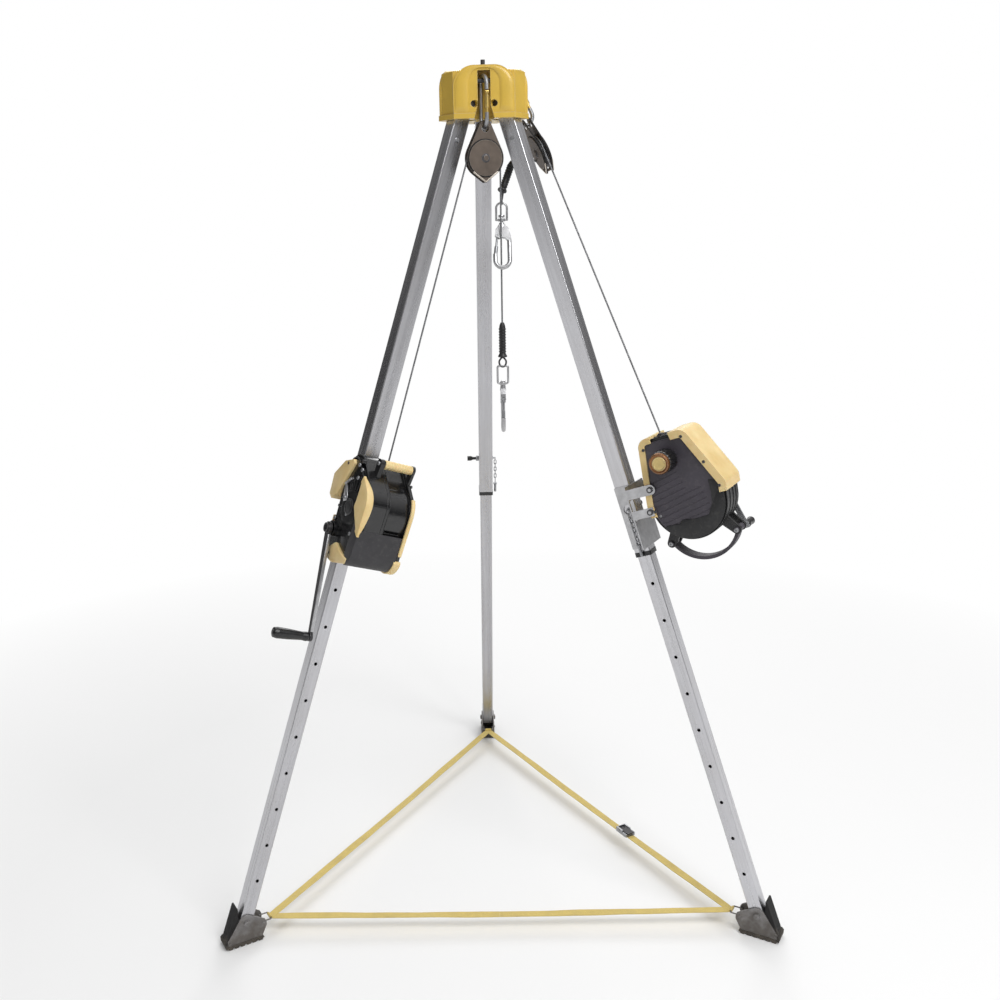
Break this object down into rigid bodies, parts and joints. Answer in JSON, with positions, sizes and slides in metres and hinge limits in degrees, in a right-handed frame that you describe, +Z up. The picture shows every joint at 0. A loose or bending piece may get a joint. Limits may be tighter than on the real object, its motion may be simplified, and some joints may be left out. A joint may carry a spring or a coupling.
{
  "type": "rescue tripod",
  "caption": "Aluminium rescue tripod with telescopic legs, crank winch, retractable lifeline unit, pulleys, snap hooks and webbing between the feet.",
  "frame": {"origin": "on the floor, below the centre of the head, level with the soles' teeth", "axes": "+Z up, +X to the right seen from the front, +Y away from the viewer towards the back leg"},
  "size_m": [1.6314, 1.4248, 2.447],
  "materials": {
    "head_paint": "satin",
    "leg_alloy": "satin mill finish",
    "steel": "satin",
    "brass_steel": "yellow passivated",
    "dark_steel": "phosphated",
    "pulley_plate": "anodised bronze",
    "rope": "stranded wire",
    "case_black": "matt moulding",
    "case_grey": "matt moulding",
    "guard_yellow": "satin moulding",
    "sole_rubber": "matt",
    "webbing": "woven webbing"
  },
  "bodies": {
    "head": {"head_casting": "head_paint", "head_bolts": "steel", "front_carabiner": "steel", "rear_carabiner": "brass_steel", "front_pulley_plates": "pulley_plate", "rear_pulley_plates": "pulley_plate", "winch_line": "rope", "lifeline": "rope"},
    "left_leg": {"left_upper_leg": "leg_alloy", "left_lock_fittings": "steel", "winch_crank_shell": "case_black", "winch_drum_shell": "case_black", "winch_bumpers": "guard_yellow", "winch_carry_bar": "guard_yellow", "winch_mount": "steel"},
    "right_leg": {"right_upper_leg": "leg_alloy", "right_lock_fittings": "steel", "unit_face_plate": "case_grey", "unit_case": "case_black", "unit_guards": "guard_yellow", "unit_bracket": "steel", "unit_handle": "case_grey"},
    "back_leg": {"back_upper_leg": "leg_alloy", "back_lock_fittings": "steel"},
    "left_inner": {"left_lower_leg": "leg_alloy"},
    "right_inner": {"right_lower_leg": "leg_alloy"},
    "back_inner": {"back_lower_leg": "leg_alloy"},
    "left_foot": {"left_foot_bracket": "steel", "left_sole": "sole_rubber", "left_strap": "webbing"},
    "right_foot": {"right_foot_bracket": "steel", "right_sole": "sole_rubber", "right_strap": "webbing"},
    "back_foot": {"back_foot_bracket": "steel", "back_sole": "sole_rubber", "back_strap": "webbing"},
    "left_plunger": {"left_lock_plunger": "case_black"},
    "right_plunger": {"right_lock_plunger": "case_black"},
    "back_plunger": {"back_lock_plunger": "case_black"},
    "buckle": {"strap_buckle": "steel"},
    "buckle_lever": {"buckle_lever": "dark_steel"},
    "front_carabiner_gate": {"front_carabiner_gate": "brass_steel"},
    "rear_carabiner_gate": {"rear_carabiner_gate": "brass_steel"},
    "front_sheave": {"front_sheave": "dark_steel"},
    "rear_sheave": {"rear_sheave": "dark_steel"},
    "winch_crank": {"winch_crank": "dark_steel"},
    "winch_crank_grip": {"winch_crank_grip": "case_black"},
    "winch_drum": {"winch_drum": "dark_steel"},
    "winch_eye": {"winch_hook_eye": "steel", "winch_drop_line": "rope"},
    "winch_hook": {"winch_hook": "steel"},
    "winch_hook_gate": {"winch_hook_gate": "dark_steel"},
    "lifeline_eye": {"lifeline_hook_eye": "steel", "lifeline_drop": "rope"},
    "lifeline_hook": {"lifeline_hook": "steel"},
    "lifeline_hook_gate": {"lifeline_hook_gate": "dark_steel"},
    "unit_drum": {"unit_drum": "steel"},
    "unit_knob": {"unit_knob": "guard_yellow"},
    "unit_crank": {"unit_crank": "steel"},
    "unit_crank_grip": {"unit_crank_grip": "case_black"}
  },
  "joints": [
    {"name": "left_leg_fold", "type": "hinge", "parent": "head", "child": "left_leg", "pos_m": [-0.05889, -0.034, 2.326], "axis": [0.5, -0.866, 0], "range_deg": [0, 11], "deforming": ["winch_line", "left_strap", "right_strap", "back_strap"]},
    {"name": "right_leg_fold", "type": "hinge", "parent": "head", "child": "right_leg", "pos_m": [0.05889, -0.034, 2.326], "axis": [0.5, 0.866, 0], "range_deg": [0, 11], "deforming": ["lifeline"]},
    {"name": "back_leg_fold", "type": "hinge", "parent": "head", "child": "back_leg", "pos_m": [0, 0.068, 2.326], "axis": [-1, 0, 0], "range_deg": [0, 11]},
    {"name": "left_leg_slide", "type": "slide", "parent": "left_leg", "child": "left_inner", "axis": [0.2869, 0.1656, 0.9435], "range_m": [0, 0.88]},
    {"name": "right_leg_slide", "type": "slide", "parent": "right_leg", "child": "right_inner", "axis": [-0.2869, 0.1656, 0.9435], "range_m": [0, 0.88]},
    {"name": "back_leg_slide", "type": "slide", "parent": "back_leg", "child": "back_inner", "axis": [0, -0.3312, 0.9435], "range_m": [0, 0.88]},
    {"name": "left_foot_tilt", "type": "hinge", "parent": "left_inner", "child": "left_foot", "pos_m": [-0.74478, -0.43, 0.07], "axis": [0.5, -0.866, 0], "range_deg": [-11, 0]},
    {"name": "right_foot_tilt", "type": "hinge", "parent": "right_inner", "child": "right_foot", "pos_m": [0.74478, -0.43, 0.07], "axis": [0.5, 0.866, 0], "range_deg": [-11, 0]},
    {"name": "back_foot_tilt", "type": "hinge", "parent": "back_inner", "child": "back_foot", "pos_m": [0, 0.86, 0.07], "axis": [-1, 0, 0], "range_deg": [-11, 0]},
    {"name": "left_lock_pull", "type": "slide", "parent": "left_leg", "child": "left_plunger", "axis": [-0.5, 0.866, 0], "range_m": [-0.01, 0]},
    {"name": "right_lock_pull", "type": "slide", "parent": "right_leg", "child": "right_plunger", "axis": [0.5, 0.866, 0], "range_m": [-0.01, 0]},
    {"name": "back_lock_pull", "type": "slide", "parent": "back_leg", "child": "back_plunger", "axis": [-1, 0, 0], "range_m": [-0.01, 0]},
    {"name": "winch_drum_turn", "type": "hinge", "parent": "left_leg", "child": "winch_drum", "pos_m": [-0.32205, -0.32681, 1.25979], "axis": [-0.8171, -0.4718, 0.3312], "range_deg": [-1654.7, 37.81]},
    {"name": "winch_crank_turn", "type": "hinge", "parent": "left_leg", "child": "winch_crank", "pos_m": [-0.43555, -0.32689, 1.21517], "axis": [-0.8171, -0.4718, 0.3312], "continuous": true},
    {"name": "winch_grip_spin", "type": "hinge", "parent": "winch_crank", "child": "winch_crank_grip", "pos_m": [-0.54882, -0.46133, 0.96164], "axis": [-0.8171, -0.4718, 0.3312], "continuous": true},
    {"name": "front_sheave_turn", "type": "hinge", "parent": "head", "child": "front_sheave", "pos_m": [-0.00195, -0.08431, 2.1847], "axis": [0.309, -0.9511, 0], "continuous": true},
    {"name": "winch_hook_lift", "type": "slide", "parent": "head", "child": "winch_eye", "axis": [0, 0, 1], "range_m": [-1.3, 0.03], "deforming": ["winch_drop_line"]},
    {"name": "winch_hook_swivel", "type": "hinge", "parent": "winch_eye", "child": "winch_hook", "pos_m": [0.0418, -0.07009, 1.5602], "axis": [0, 0, 1], "continuous": true},
    {"name": "winch_hook_gate_open", "type": "hinge", "parent": "winch_hook", "child": "winch_hook_gate", "pos_m": [0.0418, -0.08309, 1.5202], "axis": [1, 0, 0], "range_deg": [0, 24], "stiffness_Nm_per_rad": 0.3, "springref_deg": -17.19},
    {"name": "lifeline_pull", "type": "slide", "parent": "head", "child": "lifeline_eye", "axis": [0, 0, -1], "range_m": [0, 0.08], "stiffness_N_per_m": 40, "springref_m": -0.5, "deforming": ["lifeline_drop"]},
    {"name": "rear_sheave_turn", "type": "hinge", "parent": "head", "child": "rear_sheave", "pos_m": [0.15946, 0.03793, 2.2046], "axis": [-0.8878, -0.1764, -0.4251], "continuous": true},
    {"name": "unit_drum_turn", "type": "hinge", "parent": "right_leg", "child": "unit_drum", "pos_m": [0.54454, -0.31439, 1.28711], "axis": [0.5, 0.866, 0], "continuous": true},
    {"name": "lifeline_hook_swivel", "type": "hinge", "parent": "lifeline_eye", "child": "lifeline_hook", "pos_m": [0.0447, -0.044, 2.016], "axis": [0, 0.342, 0.9397], "range_deg": [-8, 8]},
    {"name": "lifeline_hook_gate_open", "type": "hinge", "parent": "lifeline_hook", "child": "lifeline_hook_gate", "pos_m": [0.0317, -0.05768, 1.97841], "axis": [0, -0.9397, 0.342], "range_deg": [0, 24], "stiffness_Nm_per_rad": 0.3, "springref_deg": -17.19},
    {"name": "unit_knob_pull", "type": "slide", "parent": "right_leg", "child": "unit_knob", "axis": [-0.5, -0.866, 0], "range_m": [0, 0.02]},
    {"name": "unit_crank_turn", "type": "hinge", "parent": "right_leg", "child": "unit_crank", "pos_m": [0.65438, -0.30391, 1.26355], "axis": [0.5, 0.866, 0], "continuous": true},
    {"name": "unit_grip_spin", "type": "hinge", "parent": "unit_crank", "child": "unit_crank_grip", "pos_m": [0.70072, -0.30064, 1.20035], "axis": [0.5, 0.866, 0], "continuous": true},
    {"name": "front_carabiner_gate_open", "type": "hinge", "parent": "head", "child": "front_carabiner_gate", "pos_m": [0.00657, -0.1073, 2.3541], "axis": [0.9511, 0.309, 0], "range_deg": [0, 24], "stiffness_Nm_per_rad": 0.3, "springref_deg": -17.19},
    {"name": "rear_carabiner_gate_open", "type": "hinge", "parent": "head", "child": "rear_carabiner_gate", "pos_m": [0.10748, 0.04586, 2.36749], "axis": [-0.1523, 0.9842, -0.0904], "range_deg": [0, 24], "stiffness_Nm_per_rad": 0.3, "springref_deg": -17.19},
    {"name": "buckle_take_up", "type": "slide", "parent": "right_foot", "child": "buckle", "axis": [-0.5, 0.866, 0], "range_m": [-0.2782, 0]},
    {"name": "buckle_lever_lift", "type": "hinge", "parent": "buckle", "child": "buckle_lever", "pos_m": [0.42563, 0.04178, 0.0577], "axis": [-0.866, -0.5, 0], "range_deg": [0, 60]}
  ],
  "couplings": [
    {"joint": "right_leg_fold", "follows": "left_leg_fold", "ratio": 1},
    {"joint": "back_leg_fold", "follows": "left_leg_fold", "ratio": 1},
    {"joint": "right_leg_slide", "follows": "left_leg_slide", "ratio": 1},
    {"joint": "back_leg_slide", "follows": "left_leg_slide", "ratio": 1},
    {"joint": "left_foot_tilt", "follows": "left_leg_fold", "ratio": -1},
    {"joint": "right_foot_tilt", "follows": "left_leg_fold", "ratio": -1},
    {"joint": "back_foot_tilt", "follows": "left_leg_fold", "ratio": -1},
    {"joint": "winch_crank_turn", "follows": "winch_drum_turn", "ratio": -4},
    {"joint": "front_sheave_turn", "follows": "winch_drum_turn", "ratio": 0.97826},
    {"joint": "winch_hook_lift", "follows": "winch_drum_turn", "m_per_rad": 0.045},
    {"joint": "rear_sheave_turn", "follows": "lifeline_pull", "rad_per_m": 21.739},
    {"joint": "unit_drum_turn", "follows": "lifeline_pull", "rad_per_m": 16.667},
    {"joint": "buckle_take_up", "follows": "left_leg_fold", "m_per_rad": -1.4465}
  ]
}
